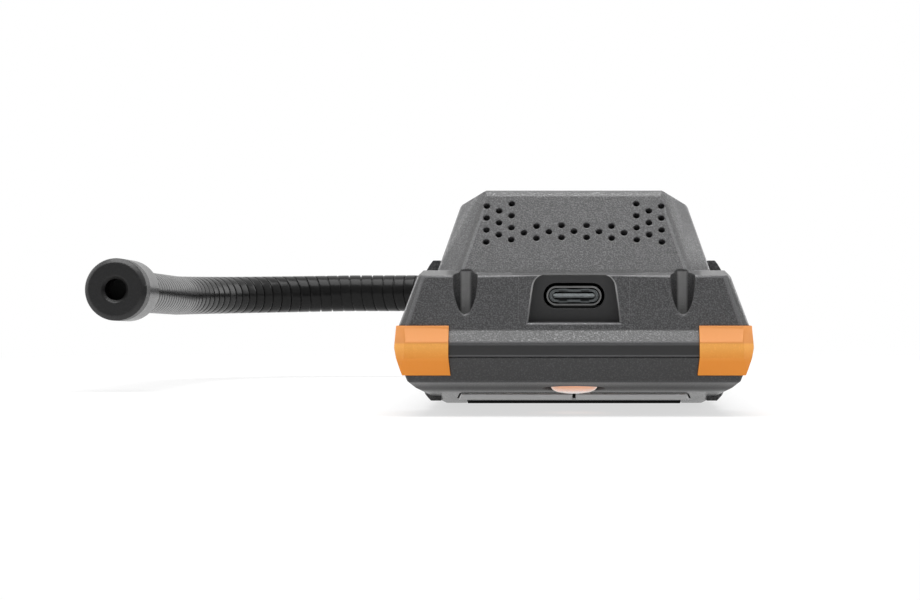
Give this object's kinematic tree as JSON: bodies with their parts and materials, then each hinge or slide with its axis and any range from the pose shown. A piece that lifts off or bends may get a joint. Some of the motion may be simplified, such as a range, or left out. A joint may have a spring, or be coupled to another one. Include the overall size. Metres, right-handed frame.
{
  "type": "refrigerant leak detector",
  "caption": "Handheld refrigerant leak detector with a faceted housing, sounder grille, charging port, corner bumpers, face keys and a bendable gooseneck sensor probe.",
  "frame": {"origin": "on the flat of the face under the head, on the centre line, where the instrument rests face down", "axes": "+Y from the butt to the head, +Z from the face to the back, +X to the right seen from the butt"},
  "size_m": [0.1282, 0.2287, 0.0367],
  "materials": {
    "shell_grey": "fine moulded texture",
    "bumper_orange": "satin",
    "grip_black": "matt",
    "lens_black": "gloss",
    "display_grey": "matt",
    "board_green": "satin",
    "dark_plastic": "matt",
    "button_orange": "gloss",
    "key_dark": "gloss",
    "bright_steel": "bright",
    "cell_wrap": "wrapped",
    "contact_brass": "bright",
    "neck_black": "satin",
    "head_black": "fine moulded texture"
  },
  "bodies": {
    "housing": {"back_shell": "shell_grey", "front_shell": "shell_grey", "bumper_left": "bumper_orange", "bumper_right": "bumper_orange", "grip_left": "grip_black", "grip_right": "grip_black", "display_lens": "lens_black", "display_module": "display_grey", "display_board": "board_green", "key_switches": "dark_plastic", "board_screws": "bright_steel", "power_board": "board_green", "usb_shell": "bright_steel", "usb_tongue": "dark_plastic", "board_header": "dark_plastic", "battery_cell": "cell_wrap", "battery_holder": "dark_plastic", "battery_contacts": "contact_brass", "sounder": "dark_plastic", "case_screws": "bright_steel", "neck_bush": "dark_plastic", "neck_nut": "bright_steel", "neck_ferrule": "neck_black", "gooseneck_base": "neck_black"},
    "power_button": {"power_button": "button_orange"},
    "key_left": {"key_left": "key_dark"},
    "key_right": {"key_right": "key_dark"},
    "neck_middle": {"gooseneck_middle": "neck_black"},
    "neck_tip": {"gooseneck_tip": "neck_black"},
    "sensor_head": {"sensor_barrel": "head_black", "sensor_cap": "head_black", "sensor_filter": "bright_steel", "sensor_can": "bright_steel", "sensor_board": "board_green"}
  },
  "joints": [
    {"name": "power_button_press", "type": "slide", "parent": "housing", "child": "power_button", "axis": [0, 0.1054, 0.9944], "range_m": [0, 0.0005], "stiffness_N_per_m": 1200},
    {"name": "key_left_press", "type": "slide", "parent": "housing", "child": "key_left", "axis": [0, 0.1054, 0.9944], "range_m": [0, 0.0005], "stiffness_N_per_m": 1200},
    {"name": "key_right_press", "type": "slide", "parent": "housing", "child": "key_right", "axis": [0, 0.1054, 0.9944], "range_m": [0, 0.0005], "stiffness_N_per_m": 1200},
    {"name": "neck_base_bend", "type": "hinge", "parent": "housing", "child": "neck_middle", "pos_m": [-0.01582, 0.08208, 0.0201], "axis": [0, 0, 1], "range_deg": [-75, 15], "deforming": ["gooseneck_base"]},
    {"name": "neck_middle_bend", "type": "hinge", "parent": "neck_middle", "child": "neck_tip", "pos_m": [-0.0714, 0.09299, 0.0198], "axis": [-0.0175, 0, 0.9998], "range_deg": [-75, 15], "deforming": ["gooseneck_middle"]},
    {"name": "neck_tip_bend", "type": "hinge", "parent": "neck_tip", "child": "sensor_head", "pos_m": [-0.09094, 0.04057, 0.01968], "axis": [-0.9992, 0.0349, -0.0174], "range_deg": [-14, 60], "deforming": ["gooseneck_tip"]}
  ]
}
